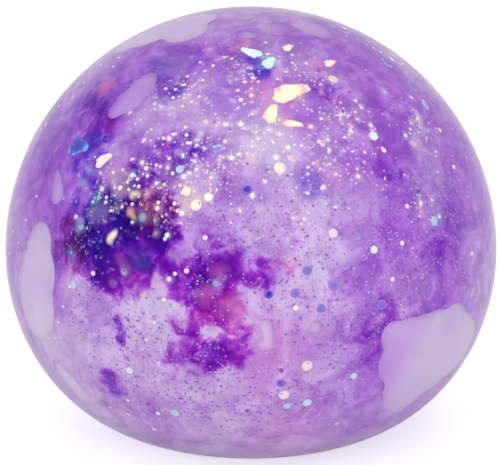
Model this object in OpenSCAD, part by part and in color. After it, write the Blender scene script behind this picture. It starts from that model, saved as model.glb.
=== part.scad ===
// Squishy ball: a clear soft skin filled with two gels, dye clouds, glitter and pockets of trapped air.
// The ball stands on the table at z = 0 on the foot of its filling plug. Its front faces -Y.

/* [Ball] */
// Width across the widest line
ball_w = 70; // [56:1:90]
// Height of the dome above the widest line
dome_h = 34.5; // [28:0.5:44]
// Height of the widest line above the table
belly_z = 26; // [22:0.5:34]
// Radius of the flat that the ball slumps onto
flat_r = 13; // [12.5:0.5:17]
// Wall of the clear skin
skin_wall = 1.6; // [1.2:0.1:2.4]

/* [Filling hole] */
// Diameter of the hole that the gel goes in through
hole_d = 6; // [4:0.5:7]
// Diameter of the thick neck round the hole
neck_d = 14; // [12:0.5:18]
// Height of the neck above the inside of the skin
neck_h = 2.4; // [1.5:0.1:4]
// Diameter of the plug's foot
foot_d = 22; // [18:0.5:24]
// Thickness of the plug's foot
foot_t = 1.1; // [0.8:0.1:1.3]
// How far the foot stands proud of the skin
foot_proud = 0.3; // [0.2:0.1:0.6]
// Diameter of the plug's barb
barb_d = 9; // [8:0.5:11]
// Height of the plug's barb
barb_h = 2.5; // [1.5:0.1:4]

/* [Filling] */
// Height of the line between the two gels
gel_line_z = 30; // [24:0.5:36]
// Depth of an air pocket
pocket_depth = 1.2; // [0.6:0.1:2]
// Thickness of a glitter flake
flake_t = 0.25; // [0.15:0.05:0.5]
// Width of a speck of fine glitter
glitter_w = 0.7; // [0.5:0.1:1.2]

/* [Clearances] */
// Between the gel and the skin, and between the two gels
gel_gap = 0.3; // [0.2:0.05:0.5]
// Round a dye cloud
cloud_gap = 0.3; // [0.2:0.05:0.5]
// Round a flake
flake_gap = 0.1; // [0.05:0.05:0.2]
// Round the plug's stem and foot
plug_gap = 0.1; // [0.05:0.05:0.2]

/* [Hidden] */
$fn = 96;

// How far a cut runs past the face that it opens
cut_over = 1;
// Sides of a hexagonal flake and of a round one
hex_sides = 6;
round_sides = 24;

ball_r = ball_w / 2;
ball_h = belly_z + dome_h;
gel_inset = skin_wall + gel_gap;
neck_top = foot_proud + skin_wall + neck_h;
barb_top = neck_top + plug_gap + barb_h;

// Levels of the filling, by angle above the widest line: the base stays, the crown goes down with a press
BASE = [-90, 0];
MIDDLE = [0, 25];
CROWN = [25, 90];

// Air pockets: bearing from the front, angle above the widest line, round lobes [right, up, radius]
pockets = [
    [-86, 69, [[2.6, 3, 3.1], [-1.5, 4.4, 3.3], [-3.4, 2.5, 3.5], [-2, -1, 4.2], [-3, -4.2, 3.2]]],
    [-49, 51, [[-0.9, -2.8, 1.3], [0, -0.8, 2.2], [0.4, 1.6, 2.2], [0.2, 3.2, 1.3]]],
    [-58, 24, [[0.4, -0.7, 1.4], [-0.8, 0.8, 1.1], [-1.8, 1.8, 0.8]]],
    [-59, 1, [[-0.4, 5.2, 3], [-0.4, 1.5, 4.6], [-1.3, -2.5, 5.2], [-2.2, -5.2, 3.8]]],
    [-53, -32, [[-1.8, 1.2, 1.5], [-0.4, -0.6, 2], [0.7, -2.2, 1.8]]],
    [71, 75, [[0.6, 1.4, 1.9], [0.4, 0, 2.4], [0, -1.2, 1.8]]],
    [-7, 78, [[-0.1, -0.1, 0.9], [0.7, -0.1, 1]]],
    [3, -4, [[0, 1.5, 1], [0.5, 0.3, 0.8], [0.5, -1.2, 1], [-0.6, -1.3, 0.7]]],
    [14, -2, [[0.4, 0.3, 0.8], [0.8, -0.4, 0.6], [-0.1, -0.4, 0.6]]],
    [64, -4, [[-0.4, -0.3, 0.9], [0.4, 0.6, 0.7]]],
    [47, -21, [[-6.9, 4.8, 2.1], [-4.4, 4.2, 2.8], [-4.6, 1, 4], [-1.8, 3.6, 3.4], [0.4, 2.4, 4.6],
               [4.2, 2.6, 4.2], [7, 0.4, 4.1], [8.6, -1.4, 4.2], [4.2, -2.6, 4], [0.6, -3.8, 3.8],
               [-3.2, -3.2, 3.2], [-0.9, -6.9, 2.7], [-3.4, -5.8, 2.1]]],
    [113, -2, [[0, 4, 3.4], [-0.5, 0, 4.2], [0.5, -4, 3.2]]],
    [-130, -22, [[-4, 2, 3], [0, 1, 4], [4, 3, 3.2], [1, -4, 3]]],
    [170, 42, [[-2.4, -1, 2], [0, 0, 2.6], [2.6, 0.6, 1.7]]]
];

// Dye clouds: round lobes [bearing, angle, depth, radius]
left_lobes = [[-34, 18, 2, 4.8], [-42, 19, 2.4, 4.2], [-26, 19, 2, 3.8], [-33, 9, 2, 3.6], [-25, 13, 2, 2.8]];
middle_lobes = [[-8, 13, 2, 3.4], [-2, 11, 2, 3], [-12, 16, 2, 2.2], [3, 14, 1.2, 1.8]];
lower_lobes = [[-10, -10, 2, 3.4], [-4, -8, 2, 2.8], [-17, -10, 2, 3], [-11, -19, 1.6, 2.2]];
blot_lobes = [[-36, -28, 1, 1.8], [-40, -8, 1, 1.8]];
rear_lobes = turned(left_lobes, 185);
rear_lower_lobes = turned(lower_lobes, 195);
all_lobes = concat(left_lobes, middle_lobes, rear_lobes, lower_lobes, rear_lower_lobes, blot_lobes);

// Flakes placed one by one on the front: [bearing, angle, width], with a second set on the rear
blue_dots = both_sides([[-1, 31, 1.3], [4, 7, 1.2], [10, 7, 1.2], [13, 12, 1.2], [19, 8, 1.3],
                        [16, 3, 1.2], [31, 2, 1.4], [7, -21, 1.2]]);
cream_discs = both_sides([[-17, 30, 1.3], [-14, 27, 1.5], [-11, 29, 1.2], [8, 36, 1.6], [20, 20, 1.2],
                          [13, -15, 1.5], [8, -26, 1.4], [38, 58, 1.4]]);
mint_flakes = both_sides([[-20, 35, 1.2], [50, 18, 1.5], [-45, 4, 1.3], [-20, -36, 1.4], [25, -21, 1.2],
                          [14, -30, 1.4], [9, -31, 1.2]]);
silver_hexes = both_sides([[40, 41, 1.5], [30, 15, 1.2], [-30, -20, 1.2]]);
placed = concat(blue_dots, cream_discs, mint_flakes, silver_hexes);

// Large pieces of film under the crown: [bearing, angle, turn, length, width]
shards = [[16, 56, 18, 5.6, 2.8], [7, 50, 70, 3.2, 1.9], [14, 47, -12, 2.8, 1.1], [0, 70, 150, 3.2, 1.7],
          [10, 66, 60, 2.6, 1.6], [27, 71, 30, 1.9, 1.2], [44, 63, 10, 2.2, 1.2],
          [150, 55, 30, 4, 2], [172, 62, 80, 3, 1.6]];
chips = [[-57, 35, 20, 4, 2.6], [-45, 34, 50, 2.8, 1.6], [78, 56, 70, 2, 1], [76, 48, 60, 1.8, 1],
         [73, 43, 50, 1.8, 1], [-150, 40, 30, 3, 2]];

// Fine glitter over the whole wall: evenly scattered places, kept off the pockets, the larger flakes
// and the paths of the flakes that sink. Every third place holds a violet speck, and the rest hold gold.
scatter_count = 130;
scatter_step = [0.7548776662, 0.569840291];
scatter_top = 0.94;
scatter_low = -0.75;
candidates = [for (i = [1 : scatter_count]) scatter_place(i)];
sinking = [for (p = concat(placed, candidates)) if (in_level(p, MIDDLE)) p];
scattered = [for (p = candidates) if (is_free(p)) p];
gold_glitter = [for (i = [0 : len(scattered) - 1]) if (i % 3 < 2) scattered[i]];
violet_specks = [for (i = [0 : len(scattered) - 1]) if (i % 3 == 2) scattered[i]];

function fraction(v) = v - floor(v);
function scatter_place(i) = [
    360 * fraction(i * scatter_step.x),
    asin(scatter_low + (scatter_top - scatter_low) * fraction(i * scatter_step.y)),
    glitter_w
];
function turned(lobes, by) = [for (l = lobes) [l[0] + by, l[1], l[2], l[3]]];
function both_sides(flakes) = concat(flakes, [for (f = flakes) [f[0] + 180, f[1], f[2]]]);
function reach(lobes) = max([for (l = lobes) norm([l.x, l.y]) + l.z]);
function apart(a, b) = norm(wall_point(a[0], a[1], gel_inset) - wall_point(b[0], b[1], gel_inset));
function in_level(f, level) = f[1] >= level[0] && f[1] < level[1];

// Room to the side of the path that a flake takes as it sinks
function lane_gap(a, b) =
    let (turn = fraction((a[0] - b[0]) / 360))
    2 * PI * ball_r * min(turn, 1 - turn) - (a[2] + b[2]) / 2;

function is_free(p) =
    min([for (q = placed) apart(p, q) - (p[2] + q[2]) / 2]) > glitter_w
    && min([for (s = concat(shards, chips)) apart(p, s) - s[3] / 2]) > glitter_w
    && min([for (k = pockets) apart(p, k) - reach(k[2])]) > glitter_w
    && (!in_level(p, BASE) || min([for (q = sinking) lane_gap(p, q)]) > glitter_w / 2);

// The wall's outline at an inset from the outside: a dome on top, a rounder slumped belly below
function across(inset) = ball_r - inset;
function dome_rise(inset) = dome_h - inset;
function belly_out(inset) = ball_r - flat_r - inset;
function belly_drop(inset) = belly_z - foot_proud - inset;
function wall_r(angle, inset) =
    angle >= 0 ? across(inset) * cos(angle) : flat_r + belly_out(inset) * cos(angle);
function wall_z(angle, inset) =
    belly_z + (angle >= 0 ? dome_rise(inset) : belly_drop(inset)) * sin(angle);
function wall_tilt(angle, inset) = angle >= 0
    ? atan2(sin(angle) / dome_rise(inset), cos(angle) / across(inset))
    : atan2(sin(angle) / belly_drop(inset), cos(angle) / belly_out(inset));
function wall_point(bearing, angle, inset) = [
    wall_r(angle, inset) * sin(bearing),
    -wall_r(angle, inset) * cos(bearing),
    wall_z(angle, inset)
];

// Puts its children on the wall: x to the right, y up the wall, z outwards
module on_wall(bearing, angle, inset) {
    translate(wall_point(bearing, angle, inset))
        rotate([0, 0, bearing - 90])
            rotate([0, 90 - wall_tilt(angle, inset), 0])
                rotate([0, 0, 90])
                    children();
}

// A quarter of an ellipse in the corner between two axes
module quarter(out, up) {
    intersection() {
        scale([1, up / out])
            circle(r = out);
        square([out, up]);
    }
}

module half_outline(inset) {
    translate([0, belly_z])
        quarter(across(inset), dome_rise(inset));
    translate([flat_r, belly_z])
        mirror([0, 1])
            quarter(belly_out(inset), belly_drop(inset));
    translate([0, foot_proud + inset])
        square([flat_r, belly_drop(inset)]);
}

module ball(inset) {
    rotate_extrude()
        half_outline(inset);
}

module skin() {
    color("Lavender", 0.35)
        rotate_extrude()
            difference() {
                union() {
                    difference() {
                        half_outline(0);
                        half_outline(skin_wall);
                    }
                    translate([0, foot_proud])
                        square([neck_d / 2, neck_top - foot_proud]);
                }
                square([hole_d / 2, neck_top + cut_over]);
                square([foot_d / 2 + plug_gap, foot_t]);
            }
}

module filling_plug() {
    stem_r = hole_d / 2 - plug_gap;
    barb_foot = neck_top + plug_gap;
    color("Plum")
        rotate_extrude()
            polygon([
                [0, 0], [foot_d / 2, 0], [foot_d / 2, foot_t], [stem_r, foot_t], [stem_r, barb_foot],
                [barb_d / 2, barb_foot], [stem_r, barb_top], [0, barb_top]
            ]);
}

// Room in the gel for the neck and the plug's barb
module neck_room() {
    cylinder(d = neck_d + 2 * gel_gap, h = neck_top + gel_gap);
    cylinder(d = barb_d + 2 * gel_gap, h = barb_top + gel_gap);
}

module pocket_outlines() {
    for (p = pockets)
        on_wall(p[0], p[1], gel_inset)
            linear_extrude(ball_r, center = true)
                for (l = p[2])
                    translate([l.x, l.y])
                        circle(r = l.z);
}

// Both gels as one ball, hollowed where air is trapped under the skin
module filling() {
    difference() {
        union() {
            difference() {
                ball(gel_inset);
                pocket_outlines();
            }
            ball(gel_inset + pocket_depth);
        }
        neck_room();
        lobe_balls(all_lobes, cloud_gap);
    }
}

module lobe_balls(lobes, grow) {
    for (l = lobes)
        on_wall(l[0], l[1], gel_inset)
            translate([0, 0, -l[2]])
                sphere(r = l[3] + grow);
}

module cloud(lobes) {
    color("Indigo")
        without_flakes()
            intersection() {
                ball(gel_inset);
                lobe_balls(lobes, 0);
            }
}

// One flake lying flush in the face of the gel, or the recess that it lies in
module flake(place, sides, grow) {
    on_wall(place[0], place[1], gel_inset)
        translate([0, 0, -flake_t - grow])
            cylinder(d = place[2] + 2 * grow, h = flake_t + (grow > 0 ? cut_over : 0), $fn = sides);
}

// An uneven six-sided snip of film, or its recess
module film(piece, grow) {
    half_l = piece[3] / 2 + grow;
    half_w = piece[4] / 2 + grow;
    on_wall(piece[0], piece[1], gel_inset)
        rotate([0, 0, piece[2]])
            translate([0, 0, -flake_t - grow])
                linear_extrude(flake_t + (grow > 0 ? cut_over : 0))
                    polygon([[-half_l, 0], [-half_l / 2, half_w], [half_l * 0.6, half_w],
                             [half_l, 0], [half_l / 3, -half_w], [-half_l * 0.7, -half_w]]);
}

module without_flakes() {
    difference() {
        children();
        for (f = concat(gold_glitter, violet_specks, mint_flakes, silver_hexes))
            flake(f, hex_sides, flake_gap);
        for (f = concat(blue_dots, cream_discs))
            flake(f, round_sides, flake_gap);
        for (f = concat(shards, chips))
            film(f, flake_gap);
    }
}

module level_flakes(flakes, sides, level) {
    for (f = flakes)
        if (in_level(f, level))
            flake(f, sides, 0);
}

module films(pieces) {
    for (p = pieces)
        film(p, 0);
}

module pearl_gel() {
    color("Thistle")
        without_flakes()
            intersection() {
                filling();
                cylinder(r = ball_r, h = gel_line_z - gel_gap / 2);
            }
}

module violet_gel() {
    color("MediumOrchid")
        without_flakes()
            intersection() {
                filling();
                translate([0, 0, gel_line_z + gel_gap / 2])
                    cylinder(r = ball_r, h = ball_h);
            }
}

module left_dye_cloud() { cloud(left_lobes); }
module middle_dye_cloud() { cloud(middle_lobes); }
module rear_dye_cloud() { cloud(rear_lobes); }
module lower_dye_cloud() { cloud(lower_lobes); }
module rear_lower_dye_cloud() { cloud(rear_lower_lobes); }
module dye_blots() { cloud(blot_lobes); }

module crown_gold_glitter() { color("Gold") level_flakes(gold_glitter, hex_sides, CROWN); }
module middle_gold_glitter() { color("Gold") level_flakes(gold_glitter, hex_sides, MIDDLE); }
module base_gold_glitter() { color("Gold") level_flakes(gold_glitter, hex_sides, BASE); }
module crown_violet_specks() { color("DarkViolet") level_flakes(violet_specks, hex_sides, CROWN); }
module middle_violet_specks() { color("DarkViolet") level_flakes(violet_specks, hex_sides, MIDDLE); }
module base_violet_specks() { color("DarkViolet") level_flakes(violet_specks, hex_sides, BASE); }
module crown_blue_dots() { color("SlateBlue") level_flakes(blue_dots, round_sides, CROWN); }
module middle_blue_dots() { color("SlateBlue") level_flakes(blue_dots, round_sides, MIDDLE); }
module base_blue_dots() { color("SlateBlue") level_flakes(blue_dots, round_sides, BASE); }
module crown_cream_discs() { color("Cornsilk") level_flakes(cream_discs, round_sides, CROWN); }
module middle_cream_discs() { color("Cornsilk") level_flakes(cream_discs, round_sides, MIDDLE); }
module base_cream_discs() { color("Cornsilk") level_flakes(cream_discs, round_sides, BASE); }
module crown_mint_flakes() { color("Aquamarine") level_flakes(mint_flakes, hex_sides, CROWN); }
module middle_mint_flakes() { color("Aquamarine") level_flakes(mint_flakes, hex_sides, MIDDLE); }
module base_mint_flakes() { color("Aquamarine") level_flakes(mint_flakes, hex_sides, BASE); }
module crown_silver_hexes() { color("Silver") level_flakes(silver_hexes, hex_sides, CROWN); }
module middle_silver_hexes() { color("Silver") level_flakes(silver_hexes, hex_sides, MIDDLE); }
module base_silver_hexes() { color("Silver") level_flakes(silver_hexes, hex_sides, BASE); }
module hologram_shards() { color("Khaki") films(shards); }
module blue_chips() { color("DodgerBlue") films(chips); }

skin();
filling_plug();
pearl_gel();
violet_gel();
left_dye_cloud();
middle_dye_cloud();
rear_dye_cloud();
lower_dye_cloud();
rear_lower_dye_cloud();
dye_blots();
crown_gold_glitter();
middle_gold_glitter();
base_gold_glitter();
crown_violet_specks();
middle_violet_specks();
base_violet_specks();
crown_blue_dots();
middle_blue_dots();
base_blue_dots();
crown_cream_discs();
middle_cream_discs();
base_cream_discs();
crown_mint_flakes();
middle_mint_flakes();
base_mint_flakes();
crown_silver_hexes();
middle_silver_hexes();
base_silver_hexes();
hologram_shards();
blue_chips();
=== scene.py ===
"""Looks of the squishy ball: a clear skin round two gels, dye clouds, glitter and pockets of trapped air."""

import math

import bpy
import numpy as np
from mathutils import Matrix, Vector, noise


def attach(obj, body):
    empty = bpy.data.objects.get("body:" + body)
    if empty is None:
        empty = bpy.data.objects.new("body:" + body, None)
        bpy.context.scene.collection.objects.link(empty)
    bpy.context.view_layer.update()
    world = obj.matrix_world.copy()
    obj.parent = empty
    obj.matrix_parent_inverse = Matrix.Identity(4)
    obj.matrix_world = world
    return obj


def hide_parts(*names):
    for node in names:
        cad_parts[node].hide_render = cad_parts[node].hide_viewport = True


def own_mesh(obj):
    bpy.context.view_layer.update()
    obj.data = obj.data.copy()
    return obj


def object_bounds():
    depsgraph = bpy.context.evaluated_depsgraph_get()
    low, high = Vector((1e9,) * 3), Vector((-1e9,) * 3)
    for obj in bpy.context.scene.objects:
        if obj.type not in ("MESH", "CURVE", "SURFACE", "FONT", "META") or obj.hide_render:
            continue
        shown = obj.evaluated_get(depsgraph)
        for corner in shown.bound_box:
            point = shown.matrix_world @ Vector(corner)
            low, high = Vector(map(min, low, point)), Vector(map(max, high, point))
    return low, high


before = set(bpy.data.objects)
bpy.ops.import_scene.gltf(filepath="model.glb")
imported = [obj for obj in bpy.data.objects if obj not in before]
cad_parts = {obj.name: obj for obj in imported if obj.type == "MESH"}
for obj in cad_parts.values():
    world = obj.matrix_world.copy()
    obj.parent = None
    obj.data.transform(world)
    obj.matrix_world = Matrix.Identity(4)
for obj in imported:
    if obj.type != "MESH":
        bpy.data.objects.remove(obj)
cad_low, cad_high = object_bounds()

# The wandering edges of the zones come from this seed
DRIFT_SEED = 2
noise.seed_set(DRIFT_SEED)

# Sizes of the part, in metres. The frame gives the ball's width and height
MM = 0.001
MICRON_DIGITS = 6
BALL_R = round(cad_high[0], MICRON_DIGITS)
BALL_H = round(cad_high[2], MICRON_DIGITS)
BELLY_Z = 26 * MM
DOME_H = BALL_H - BELLY_Z
FLAT_R = 13 * MM
FOOT_PROUD = 0.3 * MM
FOOT_T = 1.1 * MM
RECESS_R = 11.1 * MM
HOLE_R = 3 * MM
NECK_R = 7 * MM
NECK_TOP = 4.3 * MM
GEL_LINE_Z = 30 * MM
GEL_INSET = 1.9 * MM
POCKET_SHOWS = 0.7 * MM

# A face of the gel this far inside is a pocket's, unless it is this close to the line between the gels
POCKET_LIP = 0.12 * MM
ON_THE_LINE = 0.001 * MM

# The skin's inner face lies inside the gel's face, so that no glare shows between them
SKIN_INNER = 2.8 * MM

# How far inside the faces of clouds and flakes lie, and how thick a flake is
CLOUD_INSET = 1.86 * MM
FLAKE_TOP = 1.8 * MM
FLAKE_T = 0.16 * MM

# Levels of the filling, each its own body: the lowest and highest angle, in degrees, of the finer flakes that
# go to it
LEVELS = {"base": (-90, 0), "middle": (0, 25), "crown": (25, 90)}

# A flake's place along its kind's colours, from full to dulled: the least and the spread at each level
DULLED = {"base": (0.6, 0.4), "middle": (0.3, 0.5), "crown": (0.2, 0.55)}

# Air pockets: bearing from the front, angle above the widest line, round lobes (right, up, radius)
POCKETS = [
    (-86, 69, [(2.6, 3, 3.1), (-1.5, 4.4, 3.3), (-3.4, 2.5, 3.5), (-2, -1, 4.2), (-3, -4.2, 3.2)]),
    (-49, 51, [(-0.9, -2.8, 1.3), (0, -0.8, 2.2), (0.4, 1.6, 2.2), (0.2, 3.2, 1.3)]),
    (-58, 24, [(0.4, -0.7, 1.4), (-0.8, 0.8, 1.1), (-1.8, 1.8, 0.8)]),
    (-59, 1, [(-0.4, 5.2, 3), (-0.4, 1.5, 4.6), (-1.3, -2.5, 5.2), (-2.2, -5.2, 3.8)]),
    (-53, -32, [(-1.8, 1.2, 1.5), (-0.4, -0.6, 2), (0.7, -2.2, 1.8)]),
    (71, 75, [(0.6, 1.4, 1.9), (0.4, 0, 2.4), (0, -1.2, 1.8)]),
    (-7, 78, [(-0.1, -0.1, 0.9), (0.7, -0.1, 1)]),
    (3, -4, [(0, 1.5, 1), (0.5, 0.3, 0.8), (0.5, -1.2, 1), (-0.6, -1.3, 0.7)]),
    (14, -2, [(0.4, 0.3, 0.8), (0.8, -0.4, 0.6), (-0.1, -0.4, 0.6)]),
    (64, -4, [(-0.4, -0.3, 0.9), (0.4, 0.6, 0.7)]),
    (47, -21, [(-6.9, 4.8, 2.1), (-4.4, 4.2, 2.8), (-4.6, 1, 4), (-1.8, 3.6, 3.4), (0.4, 2.4, 4.6),
               (4.2, 2.6, 4.2), (7, 0.4, 4.1), (8.6, -1.4, 4.2), (4.2, -2.6, 4), (0.6, -3.8, 3.8),
               (-3.2, -3.2, 3.2), (-0.9, -6.9, 2.7), (-3.4, -5.8, 2.1)]),
    (113, -2, [(0, 4, 3.4), (-0.5, 0, 4.2), (0.5, -4, 3.2)]),
    (-130, -22, [(-4, 2, 3), (0, 1, 4), (4, 3, 3.2), (1, -4, 3)]),
    (170, 42, [(-2.4, -1, 2), (0, 0, 2.6), (2.6, 0.6, 1.7)]),
]


def turned(rows, by):
    """The same places, moved round the ball."""
    return [(row[0] + by, *row[1:]) for row in rows]


def both_sides(rows):
    """The places on the front, and again on the rear."""
    return rows + turned(rows, 180)


def left_and_right(rows):
    """The places on the right side, and their mirror images on the left side."""
    return rows + [(-row[0], *row[1:]) for row in rows]


# Dye clouds: round lobes (bearing, angle, depth, radius)
LEFT_LOBES = [(-34, 18, 2, 4.8), (-42, 19, 2.4, 4.2), (-26, 19, 2, 3.8), (-33, 9, 2, 3.6), (-25, 13, 2, 2.8)]
MIDDLE_LOBES = [(-8, 13, 2, 3.4), (-2, 11, 2, 3), (-12, 16, 2, 2.2), (3, 14, 1.2, 1.8)]
LOWER_LOBES = [(-10, -10, 2, 3.4), (-4, -8, 2, 2.8), (-17, -10, 2, 3), (-11, -19, 1.6, 2.2)]
BLOT_LOBES = [(-36, -28, 1, 1.8), (-40, -8, 1, 1.8)]
CLOUDS = [
    ("left_dye_cloud", "middle", LEFT_LOBES),
    ("middle_dye_cloud", "middle", MIDDLE_LOBES),
    ("rear_dye_cloud", "middle", turned(LEFT_LOBES, 185)),
    ("lower_dye_cloud", "base", LOWER_LOBES),
    ("rear_lower_dye_cloud", "base", turned(LOWER_LOBES, 195)),
    ("dye_blots", "base", BLOT_LOBES),
]

# Snips of film: bearing, angle, turn, length, width, place along the film's colours
SHARDS = [
    (16, 56, 18, 5.6, 2.8, 0), (7, 50, 70, 3.2, 1.9, 0), (14, 47, -12, 2.8, 1.1, 0.05),
    (0, 70, 150, 3.2, 1.7, 0.74), (10, 66, 60, 2.6, 1.6, 0.9), (27, 71, 30, 1.9, 1.2, 0),
    (44, 63, 10, 2.2, 1.2, 0.12), (150, 55, 30, 4, 2, 0), (172, 62, 80, 3, 1.6, 0.7),
]
CHIPS = [
    (-57, 35, 20, 4, 2.6, 0.05), (-45, 34, 50, 2.8, 1.6, 1), (78, 56, 70, 2, 1, 0.3),
    (76, 48, 60, 1.8, 1, 0.2), (73, 43, 50, 1.8, 1, 0.4), (-150, 40, 30, 3, 2, 0.1),
]

# Places of the larger flakes that lie right against the skin, in full colour: bearing, angle, reach
NEAREST = both_sides([
    (-1, 31, 1), (4, 7, 1), (-17, 30, 1), (-14, 27, 1), (-11, 29, 1), (8, 36, 1), (40, 41, 1),
])

# Colours of the filling
MILK = (0.62, 0.52, 0.73)
PALE = (0.58, 0.43, 0.70)
ROSE = (0.58, 0.31, 0.66)
LILAC = (0.46, 0.27, 0.64)
GREY_LILAC = (0.42, 0.25, 0.58)
VIOLET = (0.37, 0.14, 0.61)
DEEP_VIOLET = (0.26, 0.07, 0.54)
# Painted reflection on the floors of the pockets of air
POCKET_REFLECTION = (0.61, 0.54, 0.68)

# Colours of the skin and of the glare on it
CLEAR = (0.97, 0.94, 1.0)
FAINT_GLARE = (0.12, 0.12, 0.12)

# Broad zones of colour: bearing, angle, reach, colour
ZONES = both_sides([
    (0, 84, 6, LILAC), (-22, 70, 5, VIOLET), (75, 70, 6, VIOLET), (-38, 60, 4.4, DEEP_VIOLET),
    (-64, 60, 4, VIOLET), (-78, 46, 6, LILAC), (-66, 22, 6, VIOLET), (-66, 33, 4, DEEP_VIOLET),
    (-66, 46, 5, DEEP_VIOLET), (-55, 38, 4, VIOLET), (-47, 45, 3, VIOLET), (-39, 37, 3, LILAC),
    (-31, 46, 3.2, PALE), (-17, 56, 5, LILAC), (-19, 54, 3, LILAC), (-21, 47, 3, PALE),
    (-27, 39, 4.4, DEEP_VIOLET), (-19, 40, 3, DEEP_VIOLET), (-11, 39, 3.4, VIOLET), (-15, 33, 2.4, PALE),
    (0, 47, 4.4, PALE), (-4, 56, 4.6, VIOLET), (-5, 43, 3.4, PALE), (9, 41, 4, MILK), (22, 38, 4, LILAC),
    (42, 39, 4, VIOLET), (20, 53, 5.2, VIOLET), (36, 50, 4, LILAC), (52, 48, 6, VIOLET),
    (58, 62, 6, VIOLET), (30, 62, 6, LILAC), (56, 34, 4, GREY_LILAC), (52, 27, 4, LILAC),
    (70, 28, 6, VIOLET), (72, 16, 5, VIOLET), (71, 4, 6, LILAC), (49, 14, 5, VIOLET),
    (55, 14, 4, DEEP_VIOLET), (53, 0, 5, VIOLET), (44, 5, 3, LILAC), (40, 20, 4, VIOLET),
    (43, 29, 4, DEEP_VIOLET), (34, 35, 4, VIOLET), (31, 25, 4, LILAC), (21, 20, 4, LILAC),
    (12, 22, 5, PALE), (4, 25, 4, PALE), (7, 18, 3, LILAC), (2, 33, 2.4, LILAC), (-6, 23, 4, LILAC),
    (-15, 21, 4, LILAC), (16, 14, 3, MILK), (11, 5, 5, PALE), (26, 8, 4.6, VIOLET), (29, 0, 4, LILAC),
    (20, -3, 4, LILAC), (27, -9, 4, VIOLET), (29, -16, 3.7, VIOLET), (20, -12, 4, LILAC),
    (9, -6, 4, ROSE), (9, -17, 4, ROSE), (12, -20, 3, PALE), (18, -31, 6, LILAC), (30, -46, 5, LILAC),
    (29, -34, 4, VIOLET), (8, -45, 6, ROSE), (-8, -38, 5, PALE), (-29, -44, 6, LILAC),
    (-17, -28, 6, PALE), (-28, -9, 6, PALE), (-36, 2, 4, LILAC), (-23, 0, 4.4, MILK), (-44, 1, 3, PALE),
    (-51, 4, 3, VIOLET), (-72, 6, 5, LILAC), (-49, -4, 4, LILAC), (-48, -15, 5, PALE),
    (-44, -36, 7, PALE), (0, -70, 9, PALE), (62, -36, 6, LILAC),
]) + left_and_right([
    (84, 0, 5, VIOLET), (88, 38, 5, VIOLET), (90, -40, 9, LILAC), (100, 8, 6, PALE), (98, -14, 6, MILK),
    (104, 26, 5, LILAC), (100, 50, 6, LILAC), (102, -30, 6, PALE), (112, 14, 5, VIOLET),
    (114, -14, 5, LILAC),
])

# What a thick layer of each dye lets through
INDIGO = (0.08, 0.003, 0.42)
PURPLE = (0.3, 0.012, 0.56)
MAGENTA = (0.52, 0.02, 0.48)
BLUE = (0.14, 0.08, 0.80)
WINE = (0.22, 0.01, 0.26)

# Dye that soaks out into the gel: bearing, angle, reach, strength, colour
DYE = both_sides([
    (-34, 18, 7.5, 0.95, INDIGO), (-41, 20, 6.4, 0.85, INDIGO), (-26, 22, 5, 0.8, WINE),
    (-22, 19, 3.6, 0.9, INDIGO), (-31, 10, 5.4, 0.95, PURPLE), (-26, 14, 3.6, 0.85, INDIGO),
    (-37, 12, 6, 0.85, INDIGO), (-46, 13, 5.7, 0.8, WINE), (-20, 13, 3, 0.45, PURPLE),
    (-34, 7, 4, 0.8, PURPLE), (-46, 24, 5, 0.4, BLUE), (-33, 29, 5, 0.5, PURPLE), (-25, 26, 5, 0.7, WINE),
    (-17, 9, 3.4, 0.9, PURPLE), (-11, 9, 5, 0.9, PURPLE), (-8, 13, 5, 0.6, PURPLE),
    (-9, 18, 4, 0.25, PURPLE), (-2, 12, 3.6, 0.42, PURPLE), (3, 11, 3, 0.65, PURPLE),
    (7, 13, 2.2, 0.5, MAGENTA), (-8, 4, 4.4, 0.6, MAGENTA), (-8, 1, 3, 0.2, PURPLE),
    (-4, 2, 4, 0.4, MAGENTA), (-13, -6, 3, 0.65, PURPLE), (-15, 0, 3, 0.4, PURPLE),
    (-11, -11, 3.8, 0.75, PURPLE), (-6, -10, 3.4, 0.95, PURPLE), (-2, -6, 2.8, 0.9, PURPLE),
    (-17, -12, 3.4, 0.4, PURPLE), (-9, -15, 3, 0.3, PURPLE), (-35, -27, 3, 0.6, PURPLE),
    (-21, 20, 3.4, 0.7, PURPLE), (-39, -8, 3.2, 0.2, BLUE), (-31, -3, 1.4, 0.3, INDIGO),
    (-31, -7, 1.6, 0.4, INDIGO), (-32, -11, 1.5, 0.3, INDIGO), (-31, -16, 1.5, 0.4, INDIGO),
    (15, 33, 3, 0.3, BLUE), (-19, 40, 4, 0.35, BLUE), (-27, 41, 3, 0.3, PURPLE), (-49, 61, 5, 0.2, BLUE),
    (2, 65, 4, 0.6, BLUE), (27, -7, 4, 0.2, PURPLE), (32, -2, 4, 0.4, PURPLE), (-56, 42, 5, 0.5, PURPLE),
    (-51, 35, 5, 0.5, BLUE), (36, 34, 4, 0.2, PURPLE), (35, 20, 4, 0.15, PURPLE),
    (-49, 43, 2.6, 0.6, MAGENTA), (-66, 46, 5, 0.4, PURPLE), (50, 12, 5, 0.2, PURPLE),
    (44, 29, 4, 0.2, PURPLE), (-34, 55, 4, 0.3, BLUE), (34, 56, 6, 0.25, PURPLE),
    (28, -12, 3.6, 0.2, PURPLE),
]) + left_and_right([
    (99, 16, 4, 0.6, PURPLE), (103, 12, 3.4, 0.6, INDIGO), (105, -4, 4, 0.5, MAGENTA),
    (97, 34, 5, 0.4, BLUE), (101, -18, 3, 0.6, BLUE),
])
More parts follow.
